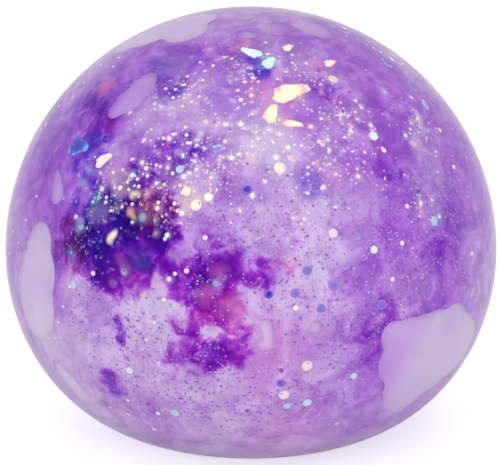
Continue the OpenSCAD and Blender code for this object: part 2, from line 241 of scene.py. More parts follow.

# Colours of the soft glows: glitter that floats deeper, dye, and painted halos of light
STRAW = (0.97, 0.82, 0.5)
AMBER = (0.9, 0.46, 0.18)
CORAL = (0.88, 0.3, 0.36)
PINK = (0.78, 0.31, 0.58)
RED = (0.64, 0.16, 0.28)
PLUM = (0.42, 0.1, 0.22)
HAZE = (0.55, 0.42, 0.5)
ICE = (0.75, 0.9, 0.76)
SKY = (0.25, 0.58, 0.74)
TEAL = (0.05, 0.42, 0.54)
MIST = (0.36, 0.36, 0.71)
COBALT = (0.03, 0.24, 0.7)
NAVY = (0.05, 0.07, 0.26)
SLATE = (0.24, 0.16, 0.46)
SOFT_BLUE = (0.18, 0.07, 0.6)
SOFT_VIOLET = (0.34, 0.17, 0.65)

# Soft glows: blurred glitter deeper in the gel and soft patches of dye, with painted halos of light round the
# bright snips and discs: bearing, angle, radius, strength, colour
GLOWS = both_sides([
    (-31, 28, 0.8, 1, STRAW), (-37, 30, 1.9, 0.75, HAZE), (-27, 29, 1, 0.8, CORAL),
    (-31, 23, 0.8, 0.9, AMBER), (-41, 22, 1.6, 0.7, SLATE), (-42, 25, 0.9, 0.7, TEAL),
    (-47, 18, 1.1, 0.7, MIST), (-47, 12, 0.7, 0.9, COBALT), (-34, 17, 0.6, 1, STRAW),
    (-31, 12, 1.1, 0.4, PLUM), (-26, 13, 1.4, 0.45, NAVY), (-30, 8, 1, 0.4, PLUM),
    (-25, 24, 1.6, 0.4, PLUM), (-10, 7, 1.2, 0.45, RED), (-7, 12, 1.3, 0.5, PLUM),
    (-4, 3, 1.8, 0.4, PINK), (-13, -15, 1, 0.6, LILAC), (-10, -9, 1.2, 0.4, SOFT_BLUE),
    (-66, 51, 1.2, 0.6, RED), (12, 62, 1.2, 0.6, PINK), (3, 57, 2.4, 0.5, PINK), (12, 53, 3.4, 0.4, PINK),
    (14, 56, 1.7, 0.5, STRAW), (19, 57, 1.5, 0.25, STRAW), (36, 64, 1.2, 0.5, PINK),
    (9, 13, 1, 0.5, PINK), (52, 19, 1.6, 0.4, MIST), (24, 34, 1.6, 0.3, PINK), (-15, 28, 1.9, 0.4, STRAW),
    (-40, -4, 0.9, 0.5, SOFT_VIOLET), (-39, -8, 1, 0.5, SOFT_VIOLET), (-38, -12, 0.8, 0.4, SOFT_VIOLET),
    (-6, 73, 0.9, 0.8, CORAL), (15, 32, 2.2, 0.6, SOFT_BLUE), (2, 31, 1.7, 0.6, SOFT_VIOLET),
    (19, 27, 1.1, 0.6, MIST), (-6, 54, 3.6, 0.5, SOFT_VIOLET), (20, 53, 2.6, 0.8, SOFT_VIOLET),
    (-43, 62, 2.4, 0.5, SLATE), (-35, -28, 1.5, 0.8, SOFT_BLUE), (-49, 27, 0.8, 0.6, TEAL),
    (-47, 31, 0.7, 0.5, SKY), (1, 67, 1.2, 0.7, SOFT_BLUE), (10, 66, 1.3, 0.5, ICE),
    (-4, 66, 0.6, 0.6, MILK),
])

# Where the sparkle, the finest dust, the blurred sparkle and the violet pepper lie: bearing, angle, reach
SPARKLE = both_sides([
    (-38, 29, 4), (-28, 30, 4), (-18, 31, 5), (-12, 40, 7), (-2, 42, 7), (8, 39, 7), (14, 34, 5),
    (24, 42, 6), (33, 47, 3.4), (47, 23, 2.4), (-2, 64, 3.5), (24, 60, 3.5), (-24, 55, 4.5), (60, 40, 3),
]) + left_and_right([(104, 34, 5), (102, 14, 4), (108, 58, 5)])
DUST = SPARKLE + both_sides([
    (-42, 13, 5), (-9, 8, 5), (-9, -12, 3), (50, 10, 6), (34, 12, 6), (34, -4, 6), (10, 26, 6),
    (-30, -14, 6), (60, 20, 8), (20, -24, 6), (0, 66, 8),
]) + left_and_right([(100, 0, 8)])
BLUR = both_sides([
    (-35, 27, 5), (-26, 26, 4), (-46, 18, 4), (-31, 15, 4), (-9, 8, 4), (-54, 40, 5), (4, 66, 5),
    (-14, 28, 3), (20, 36, 4), (62, 44, 5), (-12, 46, 5),
])
PEPPER = both_sides([
    (10, 22, 7), (12, 8, 8), (-10, -26, 8), (4, -28, 7), (28, -6, 7), (-26, -6, 6), (44, 16, 9),
    (-4, 24, 6), (22, 2, 6), (-30, -30, 7), (-40, -2, 5),
]) + left_and_right([(100, -14, 7)])

# Where the floors of the large pockets carry the most painted reflection: bearing, angle, reach
REFLECTING_POCKETS = [(-86, 69, 9), (-60, 0, 9), (58, -24, 8), (113, -2, 9), (-130, -22, 9)]


def spans(upper, inset):
    """The wall's reach out from its rounding's centre and up or down from its widest line."""
    out = np.where(upper, BALL_R, BALL_R - FLAT_R) - inset
    rise = np.where(upper, DOME_H, BELLY_Z - FOOT_PROUD) - inset
    return out, rise


def round_the_axis(bearing, radius, height):
    """Points or directions from their bearing, distance from the axis and height."""
    return np.stack([radius * np.sin(bearing), -radius * np.cos(bearing), height], -1)


def wall(bearing, angle, inset):
    """Points on the wall at an inset from the outside, and the directions straight out of it there."""
    bearing = np.radians(bearing)
    angle = np.radians(angle)
    upper = angle >= 0
    out, rise = spans(upper, inset)
    radius = np.where(upper, 0, FLAT_R) + out * np.cos(angle)
    tilt = np.arctan2(np.sin(angle) / rise, np.cos(angle) / out)
    points = round_the_axis(bearing, radius, BELLY_Z + rise * np.sin(angle))
    return points, round_the_axis(bearing, np.cos(tilt), np.sin(tilt))


def bearing_and_angle(points, inset):
    """The bearings and angles of points on the wall at an inset."""
    height = points[:, 2] - BELLY_Z
    upper = height >= 0
    out, rise = spans(upper, inset)
    radius = np.hypot(points[:, 0], points[:, 1]) - np.where(upper, 0, FLAT_R)
    bearing = np.arctan2(points[:, 0], -points[:, 1])
    angle = np.arctan2(height / rise, radius / out)
    return np.degrees(bearing), np.degrees(angle)


def wall_axes(bearing, angle, inset):
    """Points on the wall with the directions to the right, up the wall and outwards."""
    points, outward = wall(bearing, angle, inset)
    turn = np.radians(bearing)
    right = np.stack([np.cos(turn), np.sin(turn), np.zeros_like(turn)], -1)
    return points, right, np.cross(outward, right), outward


def inset_of(points):
    """How far inside the outer face each point is, as a level of the wall's own outline."""
    radius = np.hypot(points[:, 0], points[:, 1])
    height = points[:, 2] - BELLY_Z
    upper = height >= 0
    across = np.where(upper, radius, np.maximum(radius - FLAT_R, 0))
    out, rise = spans(upper, 0)
    return out * (1 - np.hypot(across / out, height / rise))


# Making meshes: how finely each is cut, and up to which angle its faces are shaded as one

GEL_CUTS = 360
CORE_CUTS = 240
LOBE_CUTS = 32
SKIN_CUTS = 192
QUARTER_CUTS = 44
DRILL_CUTS = 40
SMOOTH_SKIN = math.radians(40)
SMOOTH_GEL = math.radians(35)
SMOOTH_CLOUD = math.radians(50)

# Drills that cut pockets, the voxels that pockets and clouds are melted together in, and the billows
DRILL_LENGTH = 12 * MM
POCKET_VOXEL = 0.3 * MM
POCKET_SMOOTHINGS = 16
CLOUD_VOXEL = 0.25 * MM
BILLOW_SIZE = 1.6 * MM
BILLOW_HEIGHT = 1.2 * MM
BILLOW_LEVEL = 0.6

# Points of the skin this close are one, and the lowest point of a ball of unit radius is below this
SAME_POINT = 0.02 * MM
LOWEST = -0.99999


def make_active(piece):
    """Selects the piece alone."""
    bpy.ops.object.select_all(action="DESELECT")
    piece.select_set(True)
    bpy.context.view_layer.objects.active = piece


def apply_modifier(piece, kind, **settings):
    """Adds a modifier with these settings and applies it."""
    make_active(piece)
    modifier = piece.modifiers.new(kind.title(), kind)
    for setting, value in settings.items():
        setattr(modifier, setting, value)
    bpy.ops.object.modifier_apply(modifier=modifier.name)


def coordinates(mesh):
    """Where the mesh's vertices are, one to a row."""
    found = np.empty(len(mesh.vertices) * 3)
    mesh.vertices.foreach_get("co", found)
    return found.reshape(-1, 3)


def joined(pieces):
    """Several pieces as one object."""
    make_active(pieces[0])
    for piece in pieces:
        piece.select_set(True)
    bpy.ops.object.join()
    return bpy.context.view_layer.objects.active


def settle(piece):
    """Puts the piece's place into its mesh and leaves its object at the origin."""
    make_active(piece)
    bpy.ops.object.transform_apply(location=True, rotation=True, scale=True)


def wall_ball(name, inset, cuts):
    """A closed ball whose face lies at an inset from the outside of the skin."""
    bpy.ops.mesh.primitive_uv_sphere_add(segments=cuts, ring_count=cuts // 2, radius=1, calc_uvs=False)
    ball = bpy.context.active_object
    ball.name = name
    unit = coordinates(ball.data)
    angle = np.degrees(np.arcsin(np.clip(unit[:, 2], -1, 1)))
    bearing = np.degrees(np.arctan2(unit[:, 0], -unit[:, 1]))
    points, _ = wall(bearing, angle, inset)
    points[unit[:, 2] < LOWEST, :2] = 0
    ball.data.vertices.foreach_set("co", points.ravel())
    ball.data.update()
    return ball


def skin_outline():
    """Half of the skin's section as (radius, height): down the outside, through the hole, up the inside."""
    down = np.linspace(90, -90, 2 * QUARTER_CUTS + 1)
    outer = wall(90, down, 0)[0][:, ::2].tolist()
    inner = wall(90, down[::-1], SKIN_INNER)[0][:, ::2].tolist()
    floor = FOOT_PROUD + SKIN_INNER
    hole = [(RECESS_R, FOOT_PROUD), (RECESS_R, FOOT_T), (HOLE_R, FOOT_T), (HOLE_R, NECK_TOP),
            (NECK_R, NECK_TOP), (NECK_R, floor)]
    return outer + hole + inner


def make_skin():
    """The outline is drawn point by point and spun into the closed skin."""
    outline = skin_outline()
    bpy.ops.mesh.primitive_plane_add(size=MM)
    skin = bpy.context.active_object
    skin.name = "clear_skin"
    bpy.ops.object.mode_set(mode="EDIT")
    bpy.ops.mesh.merge(type="CENTER")
    bpy.ops.transform.translate(value=(0, 0, outline[0][1]))
    for (r0, z0), (r1, z1) in zip(outline, outline[1:]):
        bpy.ops.mesh.extrude_region_move(TRANSFORM_OT_translate={"value": (r1 - r0, 0, z1 - z0)})
    bpy.ops.mesh.select_all(action="SELECT")
    bpy.ops.mesh.spin(steps=SKIN_CUTS, angle=2 * math.pi, center=(0, 0, 0), axis=(0, 0, 1))
    bpy.ops.mesh.select_all(action="SELECT")
    bpy.ops.mesh.remove_doubles(threshold=SAME_POINT)
    bpy.ops.mesh.normals_make_consistent(inside=False)
    bpy.ops.object.mode_set(mode="OBJECT")
    bpy.ops.object.shade_smooth_by_angle(angle=SMOOTH_SKIN)
    return skin


def make_pocket_cutter():
    """Round lobes through the wall, melted together into smooth outlines."""
    lobes = []
    for bearing, angle, outline in POCKETS:
        point, right, up, outward = wall_axes(bearing, angle, GEL_INSET)
        turn = Matrix((right, up, outward)).transposed()
        for across, along, radius in outline:
            bpy.ops.mesh.primitive_cylinder_add(
                vertices=DRILL_CUTS, radius=radius * MM, depth=DRILL_LENGTH,
                location=point + right * across * MM + up * along * MM, rotation=turn.to_euler())
            lobes.append(bpy.context.active_object)
    cutter = joined(lobes)
    settle(cutter)
    apply_modifier(cutter, "REMESH", mode="VOXEL", voxel_size=POCKET_VOXEL)
    apply_modifier(cutter, "SMOOTH", iterations=POCKET_SMOOTHINGS)
    return cutter


def make_filling():
    """Both gels as one ball, hollowed where air is trapped, then cut at the line between them."""
    filling = wall_ball("pearl_filling", GEL_INSET, GEL_CUTS)
    cutter = make_pocket_cutter()
    core = wall_ball("core", GEL_INSET + POCKET_SHOWS, CORE_CUTS)
    for tool, operation in ((cutter, "DIFFERENCE"), (core, "UNION")):
        apply_modifier(filling, "BOOLEAN", object=tool, operation=operation, solver="MANIFOLD")
        bpy.data.objects.remove(tool)
    make_active(filling)
    bpy.ops.object.duplicate()
    top = bpy.context.active_object
    top.name = "violet_filling"
    for piece, cut in ((filling, {"clear_outer": True}), (top, {"clear_inner": True})):
        make_active(piece)
        bpy.ops.object.mode_set(mode="EDIT")
        bpy.ops.mesh.select_all(action="SELECT")
        bpy.ops.mesh.bisect(plane_co=(0, 0, GEL_LINE_Z), plane_no=(0, 0, 1), use_fill=True, **cut)
        bpy.ops.object.mode_set(mode="OBJECT")
        bpy.ops.object.shade_smooth_by_angle(angle=SMOOTH_GEL)
    return filling, top


def make_cloud(name, lobes):
    """Balls of dye melted together, roughened, and pressed flat where they meet the wall."""
    balls = []
    for bearing, angle, depth, radius in lobes:
        point, outward = wall(bearing, angle, GEL_INSET)
        bpy.ops.mesh.primitive_uv_sphere_add(
            segments=LOBE_CUTS, ring_count=LOBE_CUTS // 2, radius=radius * MM, calc_uvs=False,
            location=point - outward * depth * MM)
        balls.append(bpy.context.active_object)
    cloud = joined(balls)
    settle(cloud)
    cloud.name = name
    apply_modifier(cloud, "REMESH", mode="VOXEL", voxel_size=CLOUD_VOXEL)
    billows = bpy.data.textures.new(name + "_billows", "CLOUDS")
    billows.noise_scale = BILLOW_SIZE
    apply_modifier(cloud, "DISPLACE", texture=billows, texture_coords="GLOBAL",
                   strength=BILLOW_HEIGHT, mid_level=BILLOW_LEVEL)
    points = coordinates(cloud.data)
    outside = inset_of(points) < CLOUD_INSET
    points[outside] = wall(*bearing_and_angle(points[outside], CLOUD_INSET), CLOUD_INSET)[0]
    cloud.data.vertices.foreach_set("co", points.ravel())
    bpy.ops.object.shade_smooth_by_angle(angle=SMOOTH_CLOUD)
    return cloud


# Painting the filling: the waves that push the edges of zones and of dye about, as size and push

ZONE_WAVES = (9 * MM, 2 * MM)
DYE_WAVES = (4 * MM, 1.2 * MM)
WAVE_LAYERS = 3

# How fast a zone fades with the gap to it, a glow's full middle and fading edge, and the densest dye
ZONE_FADE = 1.6
GLOW_MIDDLE = 1.6
GLOW_FADE = 1.2
DENSEST = 0.98

# A trace of every zone, so that a point far from all of them still has a colour
TRACE = 1e-9


def gaps_to(points, zones):
    """For each zone, how far every point is from it, in reaches."""
    places, _ = wall([z[0] for z in zones], [z[1] for z in zones], GEL_INSET)
    return np.array([np.linalg.norm(points - place, axis=1) / (z[2] * MM) for place, z in zip(places, zones)])


def drifted(points, size, amount):
    """The points, pushed about by smooth noise so that zones get wandering edges."""
    push = [noise.turbulence_vector(Vector(p) / size, WAVE_LAYERS, False) for p in points]
    return points + np.array(push) * amount


def store(mesh, name, values, kind="FLOAT"):
    """Keeps one value for each vertex of the mesh."""
    attribute = mesh.attributes.new(name, kind, "POINT")
    field = {"FLOAT": "value", "FLOAT_COLOR": "color", "FLOAT_VECTOR": "vector"}[kind]
    attribute.data.foreach_set(field, np.asarray(values, np.float32).ravel())


def store_places(mesh):
    """Keeps where each vertex lies at rest, so that a pattern stays in the gel as it flattens."""
    store(mesh, "rest_place", coordinates(mesh), "FLOAT_VECTOR")


def blended(weights, colours):
    """One colour for each point, by the weights of the zones there."""
    weights = weights + TRACE
    return (weights.T @ np.array(colours)) / weights.sum(0)[:, None]


def thickness(points, zones):
    """How thick a scatter is at each point, from 0 to 1."""
    return np.exp(-gaps_to(points, zones) ** 2).max(0)


def paint(piece):
    """Gives each vertex its zone's colour, the dye and the glow that reach it, and its share of specks."""
    points = coordinates(piece.data)
    wandering = drifted(points, *ZONE_WAVES)
    rippled = drifted(points, *DYE_WAVES)
    tint = blended(np.exp(-ZONE_FADE * gaps_to(wandering, ZONES) ** 2), [z[3] for z in ZONES])
    near = np.clip(1 - gaps_to(rippled, DYE) ** 2, 0, 1) ** 2
    soak = np.array([d[3] for d in DYE])[:, None] * near
    dye_tint = blended(soak ** 2, [d[4] for d in DYE])
    lit = np.clip(GLOW_MIDDLE - GLOW_FADE * gaps_to(rippled, GLOWS), 0, 1)
    glow = np.array([g[3] for g in GLOWS])[:, None] * lit
    glow_tint = blended(glow, [g[4] for g in GLOWS])
    opaque = np.ones((len(points), 1))
    for name, colour in (("tint", tint), ("dye_tint", dye_tint), ("glow_tint", glow_tint)):
        store(piece.data, name, np.hstack([colour, opaque]), "FLOAT_COLOR")
    store(piece.data, "dye", 1 - np.prod(1 - np.minimum(soak, DENSEST), axis=0))
    store(piece.data, "glow", glow.max(0))
    # Shares of the specks, and of the painted reflection on the pockets' floors
    scatters = {"sparkle": SPARKLE, "dust": DUST, "blur": BLUR, "pepper": PEPPER, "pocket_reflection": REFLECTING_POCKETS}
    for name, zones in scatters.items():
        store(piece.data, name, thickness(points, zones))


# Flakes: steps that spread them evenly round and up the wall, and one that gives each a chance of its own

STEP_ROUND = 0.7548776662
STEP_UP = 0.569840291
STEP_CHANCE = 0.6180339887

# Room that finer flakes leave beside pockets and snips, in millimetres, and the digits that tell points apart
ROOM_AT_POCKETS = 0.5
ROOM_AT_SNIPS = 0.2
POINT_DIGITS = 7

# A flake's bevel, as shares of its width and thickness, its sides, and the waves that pull a snip's sides
BEVEL_WIDTH = 0.06
BEVEL_RISE = 0.25
HEXAGON = 6
DISC = 16
SNIP_SIDES = 12
SNIP_WAVES = [(3, 0.16, 0.7), (5, -0.08, 0)]
SNIPS = [(row[0], row[1], row[3]) for row in SHARDS + CHIPS]


def fraction(values):
    """What is left of each value above its whole number."""
    return values - np.floor(values)


def scattered(count, start, low, top):
    """Evenly spread places on the wall: bearing and angle."""
    i = np.arange(start, start + count)
    bearing = 360 * fraction(i * STEP_ROUND)
    angle = np.degrees(np.arcsin(low + (top - low) * fraction(i * STEP_UP)))
    return bearing, angle


def flakes_of(node):
    """The flakes of a CAD node: bearing, angle and width of each."""
    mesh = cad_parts[node].data
    points, corner = np.unique(coordinates(mesh).round(POINT_DIGITS), axis=0, return_inverse=True)
    corner = corner.ravel()
    sides = [[corner[v] for v in face.vertices] for face in mesh.polygons]
    island = np.arange(len(points))
    settled = False
    while not settled:
        before = island.copy()
        for side in sides:
            island[side] = island[side].min()
        settled = (before == island).all()
    flakes = [points[island == label] for label in np.unique(island)]
    centres = np.array([flake.mean(0) for flake in flakes])
    widths = [2 * np.linalg.norm(flake - centre, axis=1).max() / MM for flake, centre in zip(flakes, centres)]
    return np.array([*bearing_and_angle(centres, GEL_INSET), widths])


def is_free(bearing, angle, width):
    """Which places are off the pockets and off the snips of film."""
    points, _ = wall(bearing, angle, GEL_INSET)
    free = np.ones(len(points), bool)
    for pocket_bearing, pocket_angle, lobes in POCKETS:
        centre, right, up, _ = wall_axes(pocket_bearing, pocket_angle, GEL_INSET)
        for across, along, radius in lobes:
            gap = np.linalg.norm(points - (centre + right * across * MM + up * along * MM), axis=1)
            free &= gap > (radius + ROOM_AT_POCKETS + width / 2) * MM
    for snip_bearing, snip_angle, length in SNIPS:
        centre, _ = wall(snip_bearing, snip_angle, GEL_INSET)
        free &= np.linalg.norm(points - centre, axis=1) > (length + ROOM_AT_SNIPS + width) / 2 * MM
    return free


def model_flake(sides):
    """One flat flake of unit width, with a narrow bevel round its top."""
    bpy.ops.mesh.primitive_cylinder_add(vertices=sides, radius=0.5, depth=1, location=(0, 0, -0.5))
    flake = bpy.context.active_object
    settle(flake)
    bpy.ops.object.mode_set(mode="EDIT")
    bpy.ops.mesh.select_all(action="DESELECT")
    bpy.ops.object.mode_set(mode="OBJECT")
    for face in flake.data.polygons:
        face.select = round(face.normal.z) == 1
    bpy.ops.object.mode_set(mode="EDIT")
    bpy.ops.mesh.inset(thickness=BEVEL_WIDTH, depth=BEVEL_RISE)
    bpy.ops.mesh.poke()
    bpy.ops.object.mode_set(mode="OBJECT")
    return flake


def model_snip():
    """One uneven snip of film of unit length and width: a flake with its sides pulled in here and there."""
    snip = model_flake(SNIP_SIDES)
    points = coordinates(snip.data)
    turn = np.arctan2(points[:, 1], points[:, 0])
    pulled = 1 + sum(depth * np.cos(count * turn + start) for count, depth, start in SNIP_WAVES)
    points[:, :2] *= pulled[:, None]
    low, high = points[:, :2].min(0), points[:, :2].max(0)
    points[:, :2] = (points[:, :2] - low) / (high - low) - 0.5
    snip.data.vertices.foreach_set("co", points.ravel())
    return snip


def lay_flakes(name, model, bearing, angle, turn, length, width, shade, tilt):
    """Copies of one flake laid on the wall, each turned and tipped a little, as one piece."""
    shape = coordinates(model.data)
    faces = [list(face.vertices) for face in model.data.polygons]
    points, right, up, outward = wall_axes(bearing, angle, FLAKE_TOP)
    turn = np.radians(turn)
    along = right * np.cos(turn)[:, None] + up * np.sin(turn)[:, None]
    aside = np.cross(outward, along)
    normal = outward + along * tilt[:, :1] + aside * tilt[:, 1:]
    normal /= np.linalg.norm(normal, axis=1, keepdims=True)
    along = np.cross(aside, normal)
    along /= np.linalg.norm(along, axis=1, keepdims=True)
    aside = np.cross(normal, along)
    placed = (points[:, None, :]
              + shape[None, :, :1] * (along * length[:, None] * MM)[:, None, :]
              + shape[None, :, 1:2] * (aside * width[:, None] * MM)[:, None, :]
              + shape[None, :, 2:] * normal[:, None, :] * FLAKE_T)
    count = len(shape)
    mesh = bpy.data.meshes.new(name)
    mesh.from_pydata(placed.reshape(-1, 3).tolist(), [],
                     [[v + i * count for v in face] for i in range(len(points)) for face in faces])
    mesh.update()
    store(mesh, "shade", np.repeat(shade, count))
    store(mesh, "rim", np.tile(2 * np.hypot(shape[:, 0], shape[:, 1]), len(points)))
    piece = bpy.data.objects.new(name, mesh)
    bpy.context.scene.collection.objects.link(piece)
    return piece


# Materials

def new_material(name):
    """A material with a Principled shader, ready for its nodes."""
    material = bpy.data.materials.new(name)
    material.use_nodes = True
    return material, material.node_tree, material.node_tree.nodes["Principled BSDF"]


def feed(tree, node, inputs):
    """Sets a node's inputs. Each is a value, or the output of another node."""
    for socket, value in inputs.items():
        if isinstance(value, bpy.types.NodeSocket):
            tree.links.new(value, node.inputs[socket])
        else:
            node.inputs[socket].default_value = value


def add(tree, kind, inputs=None, **settings):
    """Adds a node with these inputs and settings."""
    node = tree.nodes.new("ShaderNode" + kind)
    for setting, value in settings.items():
        setattr(node, setting, value)
    feed(tree, node, inputs or {})
    return node


def kept(tree, name, kind="Fac"):
    """What the mesh keeps for each vertex under this name, as a value, a colour or a place."""
    return add(tree, "Attribute", attribute_name=name).outputs[kind]


def grain(tree, scale, detail, roughness=0.55, swirl=0.0):
    """Smooth noise over the places at rest."""
    node = add(tree, "TexNoise", {"Vector": kept(tree, "rest_place", "Vector"), "Scale": scale,
                                  "Detail": detail, "Roughness": roughness, "Distortion": swirl})
    return node.outputs["Fac"]


def mixed(tree, factor, first, second, blend="MIX"):
    """Two colours mixed by a factor. A Mix node has its colours at inputs 6 and 7 and at output 2."""
    node = add(tree, "Mix", {0: factor, 6: first, 7: second}, data_type="RGBA", blend_type=blend)
    return node.outputs[2]


def stretched(tree, value, low, high, to_low=0, to_high=1):
    """A value spread smoothly over a new range."""
    node = add(tree, "MapRange", {"Value": value, "From Min": low, "From Max": high,
                                  "To Min": to_low, "To Max": to_high}, interpolation_type="SMOOTHSTEP")
    return node.outputs["Result"]


def math_node(tree, operation, first, second):
    """Two values put together."""
    return add(tree, "Math", {0: first, 1: second}, operation=operation).outputs[0]


def times(tree, first, second):
    """One value times another."""
    return math_node(tree, "MULTIPLY", first, second)


def bump(tree, height, strength, distance):
    """A face that looks raised and sunk by a height."""
    node = add(tree, "Bump", {"Height": height, "Strength": strength, "Distance": distance})
    return node.outputs["Normal"]


def rgba(colour):
    """The colour, fully opaque."""
    return (*colour, 1.0)


# Colours of glitter near the skin; as specks in the gel they are painted as bright as its glints
HONEY = (0.96, 0.74, 0.4)
BUTTER = (0.98, 0.92, 0.62)
LEMON = (0.98, 0.92, 0.66)
CREAM = (0.98, 0.95, 0.74)
PEARL = (0.98, 0.97, 0.9)
BLUSH = (0.96, 0.56, 0.6)
AQUA = (0.6, 0.92, 0.8)
WARM_LIGHTS = [HONEY, BUTTER, CREAM, PEARL, LEMON, BLUSH, AQUA]
GOLD = [CREAM, HONEY, BUTTER, PEARL, LEMON, BLUSH, AQUA, (0.72, 0.6, 0.8), (0.6, 0.46, 0.74)]
MIXED_LIGHTS = [(0.9, 0.25, 0.5), (0.95, 0.72, 0.36), (0.92, 0.9, 0.75),
                (0.3, 0.85, 0.8), (0.3, 0.4, 0.95), (0.8, 0.64, 0.92)]
PEPPER_COLOURS = [(0.2, 0.06, 0.45), (0.3, 0.1, 0.56), (0.16, 0.1, 0.55)]

# Layers of specks, dark pepper and glitter whose sparkle is painted in as bright dots: where they lie, cells
# in a metre, core, edge, share of cells, strength, colours
SPECK_LAYERS = [
    ("pepper", 1100, 0.12, 0.24, 0.2, 0.8, PEPPER_COLOURS),
    ("pepper", 2300, 0.18, 0.36, 0.48, 0.8, PEPPER_COLOURS),
    ("blur", 420, 0.16, 0.34, 0.7, 0.4, MIXED_LIGHTS),
    ("blur", 560, 0.1, 0.3, 0.35, 0.8, WARM_LIGHTS),
    ("dust", 3000, 0.14, 0.4, 0.45, 0.7, MIXED_LIGHTS),
    ("sparkle", 1900, 0.14, 0.36, 0.6, 0.85, WARM_LIGHTS),
    ("sparkle", 1100, 0.14, 0.32, 0.8, 1, WARM_LIGHTS),
    ("sparkle", 640, 0.14, 0.29, 0.75, 1, WARM_LIGHTS),
]

# A speck's halo, painted light round the bright specks: how far past its edge it reaches, and how strong it
# is
HALO_REACH = 2.1
HALO_STRENGTH = 0.3


def skin_material():
    """Clear soft rubber. Light passes to the filling without bending, so that it lights evenly."""
    material, tree, shader = new_material("clear_skin")
    ripple = grain(tree, scale=140, detail=2)
    feed(tree, shader, {
        "Base Color": rgba(CLEAR), "Specular Tint": rgba(FAINT_GLARE), "Transmission Weight": 1, "IOR": 1.45,
        "Roughness": 0.02, "Normal": bump(tree, ripple, strength=0.05, distance=0.4 * MM)})
    ray = add(tree, "LightPath")
    passing = math_node(tree, "MAXIMUM", ray.outputs["Is Shadow Ray"], ray.outputs["Is Diffuse Ray"])
    clear = add(tree, "BsdfTransparent")
    both = add(tree, "MixShader", {"Fac": passing, 1: shader.outputs[0], 2: clear.outputs[0]})
    feed(tree, tree.nodes["Material Output"], {"Surface": both.outputs[0]})
    return material


def ramp(tree, place, colours):
    """A colour from an even row of colours."""
    node = add(tree, "ValToRGB", {"Fac": place})
    steps = node.color_ramp.elements
    for i, colour in enumerate(colours):
        position = i / (len(colours) - 1)
        step = steps[i] if i < len(steps) else steps.new(position)
        step.position = position
        step.color = rgba(colour)
    return node.outputs["Color"]


def specks(tree, density, scale, core, edge, share):
    """Round specks with a faint halo, painted light round the bright ones, one to a cell, where the cell's
    chance is under the density.
    """
    cells = add(tree, "TexVoronoi", {"Vector": kept(tree, "rest_place", "Vector"), "Scale": scale})
    chances = add(tree, "SeparateColor", {"Color": cells.outputs["Color"]}).outputs
    shown = math_node(tree, "LESS_THAN", chances["Red"], times(tree, density, share))
    dot = stretched(tree, cells.outputs["Distance"], edge, core)
    halo = stretched(tree, cells.outputs["Distance"], HALO_REACH * edge, 0, 0, HALO_STRENGTH)
    return times(tree, math_node(tree, "MAXIMUM", dot, halo), shown), chances["Green"]


def filling_material(name):
    """Gel in soft zones of colour, darkened by dye with feathery edges, with soft glows, full of sparkle
    painted as bright specks with painted halos, and fine specks.
    """
    material, tree, shader = new_material(name)
    tint, dye_tint, glow_tint = (kept(tree, key, "Color") for key in ("tint", "dye_tint", "glow_tint"))
    dye, glow, pepper = (kept(tree, key) for key in ("dye", "glow", "pepper"))
    clouding = grain(tree, scale=240, detail=8, roughness=0.66, swirl=0.8)
    feather = grain(tree, scale=380, detail=7, roughness=0.6, swirl=0.6)
    veil = grain(tree, scale=150, detail=8, roughness=0.68, swirl=1.6)
    fine = grain(tree, scale=2100, detail=4, roughness=0.6)
    patches = grain(tree, scale=330, detail=4, roughness=0.6)
    clumps = stretched(tree, patches, 0.42, 0.62, 0.15, 1)

    mottle = stretched(tree, clouding, 0.28, 0.72, 1.4, 0.74)
    gel = add(tree, "Gamma", {"Color": tint, "Gamma": mottle}).outputs["Color"]
    ragged = math_node(tree, "ADD", dye, stretched(tree, feather, 0.28, 0.72, -0.42, 0.46))
    soaked = times(tree, stretched(tree, dye, 0, 0.3), stretched(tree, ragged, 0, 1.25, 0, 1.25))
    wisps = stretched(tree, veil, 0.5, 0.72, 0, 0.16)
    grit = times(tree, stretched(tree, fine, 0.55, 0.72, 0, 0.4),
                 stretched(tree, pepper, 0.1, 0.8, 0.2, 1))
    density = math_node(tree, "ADD", soaked, math_node(tree, "ADD", wisps, grit))
    absorbed = add(tree, "Gamma", {"Color": dye_tint, "Gamma": density}).outputs["Color"]
    colour = mixed(tree, 1, gel, absorbed, "MULTIPLY")
    # Soft glows laid over the dye, some of them painted halos of light
    shimmer = times(tree, glow, stretched(tree, clouding, 0.3, 0.6, 0.6, 1))
    colour = mixed(tree, shimmer, colour, glow_tint)

    # Specks: dark pepper, and the glitter's sparkle painted as bright dots with painted halos
    for scatter, scale, core, edge, share, strength, colours in SPECK_LAYERS:
        where = times(tree, kept(tree, scatter), clumps)
        dot, chance = specks(tree, where, scale, core, edge, share)
        cover = times(tree, dot, strength)
        colour = mixed(tree, cover, colour, ramp(tree, chance, colours))
    feed(tree, shader, {"Base Color": colour, "Roughness": 0.5, "Specular IOR Level": 0})
    return material


def pocket_material():
    """The gel's colour at the bottom of a pocket of air, painted lighter against the pocket's shade, with
    patches of painted reflection over it.
    """
    material, tree, shader = new_material("pocket_floor")
    # Patches of painted reflection, strongest in the large pockets
    reflection_patches = stretched(tree, grain(tree, scale=110, detail=3), 0.3, 0.7, 0.3, 0.85)
    pocket_reflection = stretched(tree, kept(tree, "pocket_reflection"), 0, 0.4, 0.2, 1)
    share = times(tree, reflection_patches, pocket_reflection)
    # The gel's colour, painted lighter against the shade in the pocket
    thin = add(tree, "Gamma", {"Color": kept(tree, "tint", "Color"), "Gamma": 0.66}).outputs["Color"]
    colour = mixed(tree, share, thin, rgba(POCKET_REFLECTION))
    feed(tree, shader, {"Base Color": colour, "Roughness": 0.5, "Specular IOR Level": 0})
    return material


